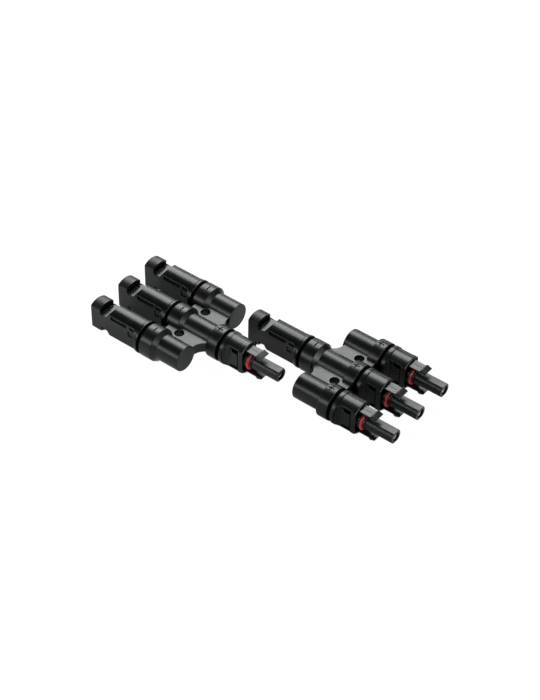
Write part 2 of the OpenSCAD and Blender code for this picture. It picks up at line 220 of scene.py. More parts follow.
def fillet(corners, closed=False, steps=5):
    """Points of a polyline [(a, b, radius), ...] with every corner rounded to its radius."""
    points = []
    count = len(corners)
    for i, (a, b, radius) in enumerate(corners):
        here = Vector((a, b))
        if radius == 0 or (not closed and i in (0, count - 1)):
            points.append(here)
            continue
        back = Vector(corners[i - 1][:2]) - here
        ahead = Vector(corners[(i + 1) % count][:2]) - here
        half = back.angle(ahead) / 2
        reach = min(radius / math.tan(half), 0.49 * back.length, 0.49 * ahead.length)
        radius = reach * math.tan(half)
        centre = here + (back.normalized() + ahead.normalized()).normalized() * (radius / math.sin(half))
        start = here + back.normalized() * reach - centre
        sweep = math.pi - 2 * half
        if back.x * ahead.y - back.y * ahead.x > 0:
            sweep = -sweep
        for step in range(steps + 1):
            points.append(centre + Matrix.Rotation(sweep * step / steps, 2) @ start)
    return points


def mesh_object(name, vertices, faces):
    """A temporary solid in millimetres."""
    mesh = bpy.data.meshes.new(name)
    mesh.from_pydata([tuple(v) for v in vertices], [], faces)
    made = bmesh.new()
    made.from_mesh(mesh)
    bmesh.ops.remove_doubles(made, verts=made.verts, dist=1e-4)
    bmesh.ops.dissolve_degenerate(made, edges=made.edges, dist=1e-5)
    bmesh.ops.recalc_face_normals(made, faces=made.faces)
    made.to_mesh(mesh)
    made.free()
    solid = bpy.data.objects.new(name, mesh)
    bpy.context.scene.collection.objects.link(solid)
    return solid


def skin(name, rings, cyclic=False):
    """A solid through closed rings of points that all have the same count."""
    size = len(rings[0])
    vertices = [p for ring in rings for p in ring]
    faces = []
    for i in range(len(rings) if cyclic else len(rings) - 1):
        near, far = i * size, (i + 1) % len(rings) * size
        for j in range(size):
            k = (j + 1) % size
            faces.append((near + j, near + k, far + k, far + j))
    if not cyclic:
        faces.append(tuple(reversed(range(size))))
        faces.append(tuple((len(rings) - 1) * size + j for j in range(size)))
    return mesh_object(name, vertices, faces)


def lathe(name, profile, segments=96, closed=False, steps=5):
    """A solid of revolution about x through the profile's corners (x, radius, rounding)."""
    rings = []
    for x, r in fillet(profile, closed, steps):
        ring = []
        for i in range(segments):
            turn = 2 * math.pi * i / segments
            ring.append((x, max(r, 1e-3) * math.cos(turn), max(r, 1e-3) * math.sin(turn)))
        rings.append(ring)
    return skin(name, rings, cyclic=closed)


def prism(name, outline, low, high, plane="xz", steps=5):
    """A flat outline of corners (a, b, rounding), made solid across its plane."""
    rings = []
    for level in (low, high):
        ring = []
        for a, b in fillet(outline, closed=True, steps=steps):
            ring.append({"xz": (a, level, b), "xy": (a, b, level), "yz": (level, a, b)}[plane])
        rings.append(ring)
    return skin(name, rings)


def block(name, low, high, rounding=0.0, plane="xz"):
    """A box with its four edges across the plane rounded."""
    first, second, across = {"xz": (0, 2, 1), "xy": (0, 1, 2), "yz": (1, 2, 0)}[plane]
    corners = [
        (low[first], low[second], rounding),
        (high[first], low[second], rounding),
        (high[first], high[second], rounding),
        (low[first], high[second], rounding),
    ]
    return prism(name, corners, low[across], high[across], plane)


def section(x, radius, half_width, corner, arc_steps=28, corner_steps=5, side_steps=8):
    """A ring at x: a circle cut to flat sides at half_width, with the corners rounded."""
    half_width = min(half_width, radius - 0.002)
    corner = min(corner, 0.9 * half_width)
    across = half_width - corner
    up = math.sqrt((radius - corner) ** 2 - across**2)
    lean = math.atan2(up, across)
    quarter = [(half_width, up * i / side_steps * 2) for i in range(side_steps // 2)]
    for i in range(corner_steps):
        turn = lean * i / corner_steps
        quarter.append((across + corner * math.cos(turn), up + corner * math.sin(turn)))
    for i in range(arc_steps // 2):
        turn = lean + (math.pi / 2 - lean) * i / (arc_steps // 2)
        quarter.append((radius * math.cos(turn), radius * math.sin(turn)))
    ring = list(quarter)
    ring += [(0, radius)] + [(-y, z) for y, z in reversed(quarter[1:])]
    ring += [(-y, -z) for y, z in quarter] + [(0, -radius)]
    ring += [(y, -z) for y, z in reversed(quarter[1:])]
    return [(x, y, z) for y, z in ring]


def merge(solid, other, operation):
    """Boolean of two temporary solids; the second one is used up."""
    step = solid.modifiers.new(operation, "BOOLEAN")
    step.operation = operation
    step.solver = "EXACT"
    step.object = other
    depsgraph = bpy.context.evaluated_depsgraph_get()
    result = bpy.data.meshes.new_from_object(solid.evaluated_get(depsgraph))
    old = solid.data
    solid.modifiers.clear()
    solid.data = result
    bpy.data.meshes.remove(old)
    bpy.data.objects.remove(other)
    return solid


def cut(solid, *others):
    for other in others:
        merge(solid, other, "DIFFERENCE")
    return solid


def add(solid, *others):
    for other in others:
        merge(solid, other, "UNION")
    return solid


def moved(solid, offset):
    solid.data.transform(Matrix.Translation(offset))
    return solid


def mirrored(solid, axis, place=0.0):
    """The solid reflected in the plane where that coordinate equals place."""
    scale = [1, 1, 1]
    shift = [0, 0, 0]
    scale["xyz".index(axis)] = -1
    shift["xyz".index(axis)] = 2 * place
    solid.data.transform(Matrix.Translation(shift) @ Matrix.Diagonal((*scale, 1)))
    solid.data.flip_normals()
    return solid


def soften(solid, width, segments=2):
    """Rounds every edge that is still sharp, and brings points that strayed back to the surface."""
    made = bmesh.new()
    made.from_mesh(solid.data)
    bmesh.ops.remove_doubles(made, verts=made.verts, dist=2e-3)
    bmesh.ops.dissolve_degenerate(made, edges=made.edges, dist=2e-3)
    before = BVHTree.FromBMesh(made)
    sharp = [e for e in made.edges if e.is_manifold and e.calc_face_angle() > math.radians(30)]
    bmesh.ops.bevel(
        made, geom=sharp, offset=width, offset_type="OFFSET", segments=segments,
        profile=0.5, affect="EDGES", clamp_overlap=False, harden_normals=False,
    )
    for vertex in made.verts:
        nearest, _, _, away = before.find_nearest(vertex.co)
        if away > 0.6 * width:
            vertex.co = nearest
    bmesh.ops.dissolve_degenerate(made, edges=made.edges, dist=1e-4)
    bmesh.ops.recalc_face_normals(made, faces=made.faces)
    made.to_mesh(solid.data)
    made.free()
    return solid


def mark_edges(mesh):
    """Stores how tightly the surface bends outwards, which the materials read as wear."""
    points = np.array([v.co for v in mesh.vertices])
    normals = np.array([v.normal for v in mesh.vertices])
    ends = np.array([e.vertices for e in mesh.edges])
    along = points[ends[:, 0]] - points[ends[:, 1]]
    length2 = np.maximum((along**2).sum(1), 1e-12)
    keep = length2 > 0.03**2
    bend = np.zeros(len(points))
    for column, sign in ((0, 1.0), (1, -1.0)):
        curve = 2 * sign * (normals[ends[:, column]] * along).sum(1) / length2
        np.maximum.at(bend, ends[keep, column], curve[keep])
    wear = np.clip((bend - 0.6) / 2.4, 0, 1)
    layer = mesh.attributes.new("edge", "FLOAT", "POINT")
    layer.data.foreach_set("value", wear.astype(np.float32))


def place(solid, name, unit, row, body, node, slot):
    """Turns a solid in millimetres into the finished piece of one port."""
    mesh = solid.data.copy()
    mark_edges(mesh)
    mesh.transform(Matrix.Scale(MM, 4))
    mesh.shade_smooth()
    mesh.set_sharp_from_angle(angle=math.radians(38))
    mesh.materials.clear()
    mesh.materials.append(MATERIALS[slot])
    piece = bpy.data.objects.new(name, mesh)
    bpy.context.scene.collection.objects.link(piece)
    piece.location = (UNIT_ORIGIN[unit] + Vector((0, ROWS[row] * PITCH, 0))) * MM
    flat = piece.modifiers.new("even_normals", "WEIGHTED_NORMAL")
    flat.keep_sharp = True
    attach(piece, body)
    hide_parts(node)
    return piece


# ---- Pieces ----


def hood():
    """Hood of a hooded port: flat sided, with a closed ring, latch windows and a round flange."""
    rings = []
    steps = 4
    for i in range(steps + 1):
        turn = math.pi / 2 * i / steps
        x, inset = HOOD_MOUTH_ROUND * (1 - math.sin(turn)), HOOD_MOUTH_ROUND * (1 - math.cos(turn))
        rings.insert(0, section(x, HOOD_R - inset, HOOD_HALF_W - inset, HOOD_CORNER))
    for x in (RING_LEN, WINDOW_END, 20, 26, 32, FLARE_START):
        rings.append(section(x, HOOD_R, HOOD_HALF_W, HOOD_CORNER))
    flange_x = HOOD_END - FLANGE_LEN
    spread = COLLAR_R + 1 - HOOD_HALF_W
    steps = 14
    for i in range(1, steps + 1):
        t = i / steps
        x = FLARE_START + FLARE_LEN * t
        width = HOOD_HALF_W + spread * t * t * (FLARE_BEND - (FLARE_BEND - 1) * t)
        rise = min(max((x - flange_x) / FLANGE_RISE, 0), 1)
        radius = HOOD_R + (COLLAR_R - HOOD_R) * rise * rise * (3 - 2 * rise)
        rings.append(section(x, radius, width, HOOD_CORNER))
    steps = 3
    for i in range(steps + 1):
        turn = math.pi / 2 * i / steps
        x, inset = HOOD_END - FLANGE_ROUND * (1 - math.sin(turn)), FLANGE_ROUND * (1 - math.cos(turn))
        rings.append(section(x, COLLAR_R - inset, COLLAR_R, HOOD_CORNER))
    body = skin("hood", rings)
    spigot_end = HOOD_END + SEAL_LEN + SPIGOT_LEN
    add(body, lathe("spigot", [
        (HOOD_END - 1, 0, 0), (HOOD_END - 1, SPIGOT_R, 0), (spigot_end, SPIGOT_R, 0.3), (spigot_end, 0, 0),
    ]))
    sky = COLLAR_R + 3
    ramp_top = WINDOW_END + (sky - WINDOW_FLOOR) / RAMP_RISE
    window = [
        (RING_LEN, WINDOW_FLOOR, 0), (RIDGE_END, WINDOW_FLOOR, 0.1), (RIDGE_END, SLOT_FLOOR, 0.15),
        (SLOT_END, SLOT_FLOOR, 0.15), (SLOT_END, WINDOW_FLOOR, 0.1), (WINDOW_END, WINDOW_FLOOR, 0.3),
        (ramp_top, sky, 0), (RING_LEN, sky, 0),
    ]
    for side in (1, -1):
        cut(body, prism("window", [(x, side * z, r) for x, z, r in window], -sky, sky))
        for x0, level in ((-1, CHANNEL_LOW), (CHANNEL_X, WINDOW_FLOOR)):
            low, high = sorted((side * level, side * CHANNEL_HIGH))
            near, far = (x0, -CHANNEL_HALF_W, low), (RING_LEN + 1, CHANNEL_HALF_W, high)
            cut(body, block("channel", near, far, 0.25, "yz"))
    for side in (1, -1):
        for x0, x1, z0, z1, depth in POCKETS:
            near, far = sorted((side * (HOOD_HALF_W - depth), side * (HOOD_HALF_W + 3)))
            cut(body, block("pocket", (x0, near, z0), (x1, far, z1), 0.35))
    cut(body, lathe("bore", [
        (-1, 0, 0), (-1, RING_BORE_R, 0), (RING_BORE_LEN, RING_BORE_R, 0),
        (RING_BORE_LEN, FLANGE_BORE_R, 0.1), (FLANGE_BORE_LEN, FLANGE_BORE_R, 0.2),
        (NOSE_BORE_X, NOSE_BORE_R, 0.2), (NOSE_BORE_END, NOSE_BORE_R, 0.3),
        (NOSE_BORE_END, SOCKET_R + FIT_GAP, 0.1), (PIN_SHOULDER_X, SOCKET_R + FIT_GAP, 0),
        (PIN_SHOULDER_X, CONTACT_BORE_R, 0), (PIN_BORE_END, CONTACT_BORE_R, 0), (PIN_BORE_END, 0, 0),
    ]))
    return soften(body, 0.16)


def cross_rod(name, half_width, radius):
    """A round rod that lies across the port."""
    rod = lathe(name, [
        (-half_width, 0, 0), (-half_width, radius, 0), (half_width, radius, 0), (half_width, 0, 0),
    ], 32)
    rod.data.transform(Matrix.Rotation(math.pi / 2, 4, "Z"))
    return rod


def seal(x0, x1):
    """Black sealing ring squeezed between a moulding and its collar."""
    return lathe("seal", [
        (x0, SPIGOT_R + FIT_GAP, 0.2), (x0, SEAL_R, 0.45), ((x0 + x1) / 2, SEAL_R - 0.08, 1.5),
        (x1, SEAL_R, 0.45), (x1, SPIGOT_R + FIT_GAP, 0.2),
    ], closed=True)


def housing():
    """Plug housing: round flange, flat sides with sunk panels and windows, hollow front, neck, nose."""
    flange_end = HOUSING_X + HOUSING_FLANGE_LEN
    body = lathe("housing", [
        (HOUSING_X, 0, 0), (HOUSING_X, COLLAR_R, 0.35), (flange_end, COLLAR_R, 0.8),
        (flange_end + HOUSING_STEP_LEN, HOUSING_R, 0.8), (FACE_X, HOUSING_R, RIM_ROUND), (FACE_X, 0, 0),
    ], segments=128)
    far = COLLAR_R + 2
    side_cut = [
        (flange_end + 0.1, far, 0), (flange_end + 0.1, 9.2, 0.5), (flange_end + 0.9, 7.4, 0.8),
        (PANEL_X, PANEL_HALF_W, 1.2), (PANEL_END, PANEL_HALF_W, 0.2),
        (PANEL_END, HOUSING_HALF_W, 0.15), (FACE_X + 2, HOUSING_HALF_W, 0), (FACE_X + 2, far, 0),
    ]
    for side in (1, -1):
        cut(body, prism("side", [(x, side * y, r) for x, y, r in side_cut], -far, far, "xy"))
        near, out = sorted((side * BLOCK_INSIDE, side * HOUSING_HALF_W))
        add(body, block("rib", (BLOCK_X, near, -BLOCK_HALF_H), (BLOCK_END, out, BLOCK_HALF_H), 0.25))
    soften(body, 0.22, 3)
    inner = HOUSING_X - SEAL_LEN - SPIGOT_LEN
    add(body, lathe("spigot", [
        (inner, 0, 0), (inner, SPIGOT_R, 0.3), (HOUSING_X + 1, SPIGOT_R, 0), (HOUSING_X + 1, 0, 0),
    ]))
    cavity = lathe("cavity", [
        (CAVITY_X, NECK_R, 0.4), (FACE_X + 1, NECK_R, 0),
        (FACE_X + 1, CAVITY_R, 0), (CAVITY_X, CAVITY_R, 0.5),
    ], closed=True)
    slab = block("slab", (CAVITY_X - 1, -CAVITY_HALF_W, -far), (FACE_X + 2, CAVITY_HALF_W, far))
    cut(body, merge(cavity, slab, "INTERSECT"))
    for side in (1, -1):
        for flip in (1, -1):
            outline = [
                (WINDOW_X, flip * WINDOW_HIGH, 0.3), (BLOCK_X, flip * WINDOW_LOW, 0.3),
                (BLOCK_END, flip * WINDOW_LOW, 0.3), (BLOCK_END, flip * WINDOW_HIGH, 0.3),
            ]
            near, out = sorted((side * WINDOW_INSIDE, side * WINDOW_OUTSIDE))
            cut(body, prism("window", outline, near, out))
    for flip in (1, -1):
        groove = cross_rod("groove", LATCH_HALF_W + 0.3, KNUCKLE_R + KNUCKLE_GAP)
        cut(body, moved(groove, (KNUCKLE_X, 0, flip * (LATCH_TOP - LATCH_T / 2))))
    nose = lathe("nose", [
        (CAVITY_X - 0.5, 0, 0), (CAVITY_X - 0.5, NECK_R, 0), (SEAT_X, NECK_R, 0.35), (SEAT_X, SEAT_R, 0.2),
        (SEAT_END, SEAT_R, 0), (SEAT_END, FLANGE_R, 0.1), (FLANGE_END, FLANGE_R, 0.3),
        (FLANGE_END, SEAT_R, 0.1), (NOSE_X, SEAT_R, 0.1), (NOSE_X, NOSE_R, 0.2),
        (TIP_X, NOSE_R, 0.45), (TIP_X, 0, 0),
    ])
    for flip in (1, -1):
        low, high = sorted((flip * NOSE_FLAT, flip * 9))
        cut(nose, block("flat", (NOSE_X - 0.2, -9, low), (TIP_X + 1, 9, high)))
    add(body, nose)
    mouth_x = TIP_X - MOUTH_DEPTH
    cut(body, lathe("bore", [
        (inner - 1, 0, 0), (inner - 1, CONTACT_BORE_R, 0), (SHOULDER_X, CONTACT_BORE_R, 0),
        (SHOULDER_X, SOCKET_R + FIT_GAP, 0), (mouth_x, SOCKET_R + FIT_GAP, 0),
        (mouth_x, SOCKET_R + MOUTH_GAP, 0), (TIP_X + 1, SOCKET_R + MOUTH_GAP, 0), (TIP_X + 1, 0, 0),
    ], segments=64))
    return soften(body, 0.14)


def o_ring():
    """Red ring with the fine line where its mould halves met."""
    section_r = (RING_END - RING_X) / 2
    middle = (RING_X + RING_END) / 2
    steps = 24
    profile = []
    for i in range(steps):
        turn = 2 * math.pi * i / steps
        r = section_r * (0.985 if i in (steps // 4, 3 * steps // 4) else 1.0)
        profile.append((middle + r * math.cos(turn), O_RING_R - section_r + r * math.sin(turn), 0))
    return lathe("o_ring", profile, closed=True)


def latch_arm():
    """Springy arm with its barb; the top one, for a port."""
    low = LATCH_TOP - LATCH_T
    outline = [
        (KNUCKLE_X, low, 0), (CREST_X, low, 1.0), (LATCH_TIP_X, TIP_LOW, 0.15),
        (LATCH_TIP_X, LATCH_TOP, 0.15), (CREST_X, BARB_TOP, 0.2), (BARB_X, LATCH_TOP, 0.3),
        (KNUCKLE_X, LATCH_TOP, 0),
    ]
    arm = prism("arm", outline, -LATCH_HALF_W, LATCH_HALF_W, steps=3)
    knuckle = cross_rod("knuckle", LATCH_HALF_W, KNUCKLE_R)
    add(arm, moved(knuckle, (KNUCKLE_X, 0, LATCH_TOP - LATCH_T / 2)))
    near = (KNUCKLE_X + 4.5, -GROOVE_HALF_W, LATCH_TOP - 0.15)
    cut(arm, block("groove", near, (BARB_X - 0.8, GROOVE_HALF_W, LATCH_TOP + 1)))
    return soften(arm, 0.1)


def mark(x0, plus):
    """Cutter for an engraved minus, or plus, on the top of a collar."""
    low, high = COLLAR_R - MARK_DEPTH, COLLAR_R + 1
    near, far = (x0 - BAR_HALF_W, -BAR_HALF_LEN, low), (x0 + BAR_HALF_W, BAR_HALF_LEN, high)
    bar = block("mark", near, far, 0.2, "xy")
    if plus:
        near, far = (x0 - BAR_HALF_LEN, -BAR_HALF_W, low), (x0 + BAR_HALF_LEN, BAR_HALF_W, high + 0.1)
        add(bar, block("mark", near, far, 0.2, "xy"))
    return bar


def web():
    """Web from the middle barrel to the rear one, with the rounded corner at its end."""
    arc_x = WEB_END_X + WEB_ARC_R
    outline = [(WEB_TONGUE_X, 0, 0), (PLUG_COLLAR_X + 1, 0, 0)]
    steps = 20
    drop = math.sqrt(WEB_ARC_R**2 - (arc_x - PLUG_COLLAR_X - 1) ** 2)
    start = math.atan2(-drop, PLUG_COLLAR_X + 1 - arc_x) % (2 * math.pi)
    for i in range(steps + 1):
        turn = start + (math.pi - start) * i / steps
        outline.append((arc_x + WEB_ARC_R * math.cos(turn), WEB_ARC_Y + WEB_ARC_R * math.sin(turn), 0))
    outline += [(WEB_END_X, PITCH, 0), (WEB_TONGUE_X, PITCH, 0)]
    return prism("web", outline, -WEB_HALF_T, WEB_HALF_T, "xy")


def hood_collar(end):
    """Collar that takes a hood, its cone, and the barrel that follows up to end."""
    return lathe("hood_collar", [
        (HOOD_COLLAR_X, 0, 0), (HOOD_COLLAR_X, COLLAR_R, 0.3), (COLLAR_HOOD_END - 0.4, COLLAR_R, 0.7),
        (CONE_END, BARREL_R, 0.5), (end, BARREL_R, 0), (end, 0, 0),
    ])


def plug_collar(start):
    """Collar that takes a plug housing, with its barrel from start."""
    return lathe("plug_collar", [
        (start, 0, 0), (start, BARREL_R, 0), (PLUG_COLLAR_X - 0.3, BARREL_R, 0.3),
        (PLUG_COLLAR_X + 0.7, COLLAR_R, 0.5), (PLUG_COLLAR_END, COLLAR_R, 0.3), (PLUG_COLLAR_END, 0, 0),
    ])


def closed_barrel(x0, x1, rounding):
    return lathe("barrel", [(x0, 0, 0), (x0, BARREL_R, 0), (x1, BARREL_R, rounding), (x1, 0, 0)])


def branch_body(unit):
    """One branch body: collars, barrels and webs in one moulding."""
    body = add(hood_collar(LAP_END), plug_collar(LAP_START))
    for row in (-1, 1):
        if unit == "a":
            side = add(hood_collar(LAP_END), closed_barrel(LAP_START, CAP_X, A_CAP_ROUND))
        else:
            barrel = closed_barrel(MIRROR_X - B_LAP_END, CAP_X + 0.5, B_CAP_ROUND)
            side = add(plug_collar(B_LAP_START), mirrored(barrel, "x", MIRROR_X / 2))
        add(body, moved(side, (0, row * PITCH, 0)))
    for row in (-1, 1):
        piece = web() if row > 0 else mirrored(web(), "y")
        hole_x = HOLE_X
        if unit == "b":
            piece = mirrored(piece, "x", MIRROR_X / 2)
            hole_x = MIRROR_X - HOLE_X
        hole = lathe("hole", [(-9, 0, 0), (-9, HOLE_R, 0), (9, HOLE_R, 0), (9, 0, 0)], 48)
        hole.data.transform(Matrix.Rotation(math.pi / 2, 4, "Y"))
        add(body, piece)
        cut(body, moved(hole, (hole_x, row * PITCH / 2, 0)))
    hooded = (-1, 0, 1) if unit == "a" else (0,)
    plugged = (0,) if unit == "a" else (-1, 0, 1)
    recess_r = SPIGOT_R + FIT_GAP
    recess_end = HOOD_COLLAR_X + SPIGOT_LEN + RECESS_GAP
    for row in hooded:
        recess = lathe("recess", [
            (HOOD_COLLAR_X - 1, 0, 0), (HOOD_COLLAR_X - 1, recess_r, 0), (recess_end, recess_r, 0),
            (recess_end, CONTACT_BORE_R, 0), (PIN_BORE_END, CONTACT_BORE_R, 0), (PIN_BORE_END, 0, 0),
        ], 64)
        cut(body, moved(recess, (0, row * PITCH, 0)), moved(mark(MINUS_X, False), (0, row * PITCH, 0)))
    recess_start = PLUG_COLLAR_END - SPIGOT_LEN - RECESS_GAP
    for row in plugged:
        recess = lathe("recess", [
            (SOCKET_BORE_X, 0, 0), (SOCKET_BORE_X, CONTACT_BORE_R, 0), (recess_start, CONTACT_BORE_R, 0),
            (recess_start, recess_r, 0), (PLUG_COLLAR_END + 1, recess_r, 0), (PLUG_COLLAR_END + 1, 0, 0),
        ], 64)
        cut(body, moved(recess, (0, row * PITCH, 0)), moved(mark(PLUS_X, True), (0, row * PITCH, 0)))
    return soften(body, 0.14)


# ---- Materials ----


class Nodes:
    """A material's node tree, built in short steps."""

    def __init__(self, name):
        self.material = bpy.data.materials.new(name)
        self.material.use_nodes = True
        self.tree = self.material.node_tree
        self.shader = self.tree.nodes["Principled BSDF"]
        coords = self.tree.nodes.new("ShaderNodeTexCoord")
        self.place = coords.outputs["Object"]

    def link(self, source, target):
        self.tree.links.new(source, target)

    def along(self, axis):
        """One of the object coordinates."""
        node = self.tree.nodes.new("ShaderNodeSeparateXYZ")
        self.link(self.place, node.inputs[0])
        return node.outputs[axis]

    def stretched(self, x, y, z):
        """Object coordinates scaled per axis."""
        node = self.tree.nodes.new("ShaderNodeMapping")
        node.inputs["Scale"].default_value = (x, y, z)
        self.link(self.place, node.inputs["Vector"])
        return node.outputs["Vector"]

    def noise(self, size_mm, detail=2.0, roughness=0.5, place=None):
        """Noise whose lumps are about size_mm across."""
        node = self.tree.nodes.new("ShaderNodeTexNoise")
        node.inputs["Scale"].default_value = 1 / (size_mm * MM)
        node.inputs["Detail"].default_value = detail
        node.inputs["Roughness"].default_value = roughness
        self.link(place or self.place, node.inputs["Vector"])
        return node.outputs["Fac"]

    def attribute(self, name):
        node = self.tree.nodes.new("ShaderNodeAttribute")
        node.attribute_name = name
        return node.outputs["Fac"]

    def remap(self, value, low, high, to_low, to_high):
        node = self.tree.nodes.new("ShaderNodeMapRange")
        node.inputs["From Min"].default_value = low
        node.inputs["From Max"].default_value = high
        node.inputs["To Min"].default_value = to_low
        node.inputs["To Max"].default_value = to_high
        self.link(value, node.inputs["Value"])
        return node.outputs["Result"]

    def math(self, operation, first, second):
        node = self.tree.nodes.new("ShaderNodeMath")
        node.operation = operation
        for socket, value in zip(node.inputs, (first, second)):
            if isinstance(value, (int, float)):
                socket.default_value = value
            else:
                self.link(value, socket)
        return node.outputs["Value"]

    def blend(self, share, first, second):
        """Colour between two, each a colour or a socket."""
        node = self.tree.nodes.new("ShaderNodeMix")
        node.data_type = "RGBA"
        self.link(share, node.inputs[0])
        for socket, value in ((node.inputs[6], first), (node.inputs[7], second)):
            if isinstance(value, tuple):
                socket.default_value = (*value, 1)
            else:
                self.link(value, socket)
        return node.outputs[2]

    def bump(self, height, depth_mm, strength=1.0, after=None):
        node = self.tree.nodes.new("ShaderNodeBump")
        node.inputs["Strength"].default_value = strength
        node.inputs["Distance"].default_value = depth_mm * MM
        self.link(height, node.inputs["Height"])
        if after is not None:
            self.link(after, node.inputs["Normal"])
        return node.outputs["Normal"]

    def set(self, **values):
        for name, value in values.items():
            socket = self.shader.inputs[name.replace("_", " ").title().replace("Ior", "IOR")]
            if isinstance(value, (int, float)):
                socket.default_value = value
            elif isinstance(value, tuple):
                socket.default_value = (*value, 1)
            else:
                self.link(value, socket)
        return self.material


def plastic(name, colour, roughness, specular, matt=None):
    """Moulded black plastic: spark-eroded grain, faint flow clouds, rubbed edges and fine scuffs.

    matt = (x from, x to, roughness added) fades in a duller finish along the port, in millimetres.
    """
    n = Nodes(name)
    cloud = n.noise(9, 3)
    grain = n.noise(0.22, 2, 0.6)
    edge = n.attribute("edge")
    worn = n.math("MULTIPLY", edge, n.remap(n.noise(1.6, 3), 0.35, 0.65, 0.25, 1.0))
    scuff = n.remap(n.noise(0.5, 4, 0.6, n.stretched(0.12, 1, 1)), 0.6, 0.78, 0, 1)
    dark = tuple(0.8 * c for c in colour)
    pale = tuple(1.25 * c for c in colour)
    rubbed = tuple(1.9 * c + 0.004 for c in colour)
    base = n.blend(n.remap(cloud, 0.3, 0.7, 0, 1), dark, pale)
    base = n.blend(n.math("MULTIPLY", scuff, 0.25), base, rubbed)
    base = n.blend(worn, base, rubbed)
    rough = n.remap(cloud, 0.3, 0.7, roughness - 0.03, roughness + 0.03)
    rough = n.math("ADD", rough, n.remap(grain, 0.3, 0.7, -0.03, 0.03))
    rough = n.math("SUBTRACT", rough, n.math("MULTIPLY", worn, 0.06))
    if matt:
        rough = n.math("ADD", rough, n.remap(n.along("X"), matt[0] * MM, matt[1] * MM, 0, matt[2]))
    normal = n.bump(cloud, 0.05, 0.4, n.bump(grain, 0.012))
    return n.set(base_color=base, roughness=rough, normal=normal, specular_ior_level=specular)


def rubber(name, colour, roughness, specular):
    """Sealing rubber: dull, with a fine pitted skin and a few pale specks."""
    n = Nodes(name)
    cloud = n.noise(3, 3)
    pit = n.noise(0.12, 3, 0.65)
    speck = n.remap(n.noise(0.35, 1), 0.72, 0.8, 0, 0.25)
    base = n.blend(cloud, tuple(0.8 * c for c in colour), tuple(1.2 * c for c in colour))
    base = n.blend(speck, base, tuple(1.5 * c + 0.006 for c in colour))
    rough = n.remap(pit, 0.3, 0.7, roughness - 0.06, roughness + 0.06)
    return n.set(base_color=base, roughness=rough, normal=n.bump(pit, 0.01), specular_ior_level=specular)


def metal(name, colour, roughness, line_mm, stretch):
    """Plated or bare metal with fine tool lines, running round or along the piece."""
    n = Nodes(name)
    lines = n.noise(line_mm, 3, 0.6, n.stretched(*stretch))
    stain = n.noise(2.5, 4)
    base = n.blend(stain, tuple(0.82 * c for c in colour), colour)
    rough = n.remap(lines, 0.3, 0.7, roughness - 0.06, roughness + 0.08)
    rough = n.math("ADD", rough, n.remap(stain, 0.3, 0.7, -0.04, 0.05))
    n.set(metallic=1.0)
    return n.set(base_color=base, roughness=rough, normal=n.bump(lines, 0.004))


AROUND = (1, 0.02, 0.02)
ALONG = (0.02, 1, 1)
MATERIALS = {
    "body_plastic": plastic("body_plastic", (0.0050, 0.0050, 0.0053), 0.31, 0.34),
    "hood_plastic": plastic("hood_plastic", (0.0045, 0.0045, 0.0048), 0.27, 0.32, (9, 6, 0.16)),
    "housing_plastic": plastic("housing_plastic", (0.0052, 0.0055, 0.0060), 0.3, 0.36, (103, 105, 0.08)),
    "latch_plastic": plastic("latch_plastic", (0.0080, 0.0086, 0.0095), 0.36, 0.43),
    "seal_rubber": rubber("seal_rubber", (0.0012, 0.0012, 0.0012), 0.8, 0.01),
    "o_ring_rubber": rubber("o_ring_rubber", (0.52, 0.02, 0.025), 0.33, 0.45),
    # Painted shade: the contacts' metal is drawn far darker than tin, for the shade inside the nose mouths
    "tinned_contact": metal("tinned_contact", (0.13, 0.13, 0.127), 0.4, 0.08, AROUND),
    "contact_band": metal("contact_band", (0.8, 0.62, 0.3), 0.28, 0.1, ALONG),
    "clip_steel": metal("clip_steel", (0.6, 0.61, 0.62), 0.3, 0.1, ALONG),
    "bus_copper": metal("bus_copper", (0.72, 0.4, 0.25), 0.32, 0.15, (1, 0.02, 1)),
}

# ---- The object ----

for row in frame["record"]["subparts"]:
    node = frame["nodes"][row["node"]]
    node.data.materials.clear()
    node.data.materials.append(MATERIALS[row["material_slot"]])


def place_all(solid, ports, kind, slot):
    """The same moulding at several ports."""
    for port in ports:
        unit, row = port.split("_")
        node = f"{port}_{kind}"
        place(solid, f"{node}_shell", unit, row, f"unit_{unit}", node, slot)
    bpy.data.objects.remove(solid)


place_all(hood(), HOOD_PORTS, "hood", "hood_plastic")
place_all(seal(HOOD_END, HOOD_COLLAR_X), HOOD_PORTS, "hood_seal", "seal_rubber")
place_all(housing(), PLUG_PORTS, "housing", "housing_plastic")
place_all(seal(PLUG_COLLAR_END, HOUSING_X), PLUG_PORTS, "plug_seal", "seal_rubber")
place_all(o_ring(), PLUG_PORTS, "o_ring", "o_ring_rubber")
for unit in "ab":
    solid = branch_body(unit)
    place(solid, f"{unit}_branch_shell", unit, "mid", f"unit_{unit}", f"{unit}_branch_body", "body_plastic")
    bpy.data.objects.remove(solid)
for side in ("top", "bottom"):
    arm = latch_arm() if side == "top" else mirrored(latch_arm(), "z")
    for port in PLUG_PORTS:
        unit, row = port.split("_")
        node = f"{port}_latch_{side}"
        place(arm, f"{node}_arm", unit, row, node, node, "latch_plastic")
    bpy.data.objects.remove(arm)

# ---- Floor, light and camera ----

STAGE_HALF = 12
BACKDROP_R = 11
FLOOR_GLOW = 0.985
# Glow of the table that only reflections see: painted reflections, stronger on the left, very bright past
# the nose tips
TABLE_GLOW_LEFT, TABLE_GLOW_RIGHT, TABLE_GLOW_BEYOND = 0.22, 0.05, 1.2

# Painted shade on the floor of each unit, in millimetres along its ports: from, length of the fade there,
# to
SHADED = (("a", -6, 12, 60), ("b", 62, 4, 86))
FADE = 4
LIGHT_COLOUR = (0.955, 1.0, 0.975)


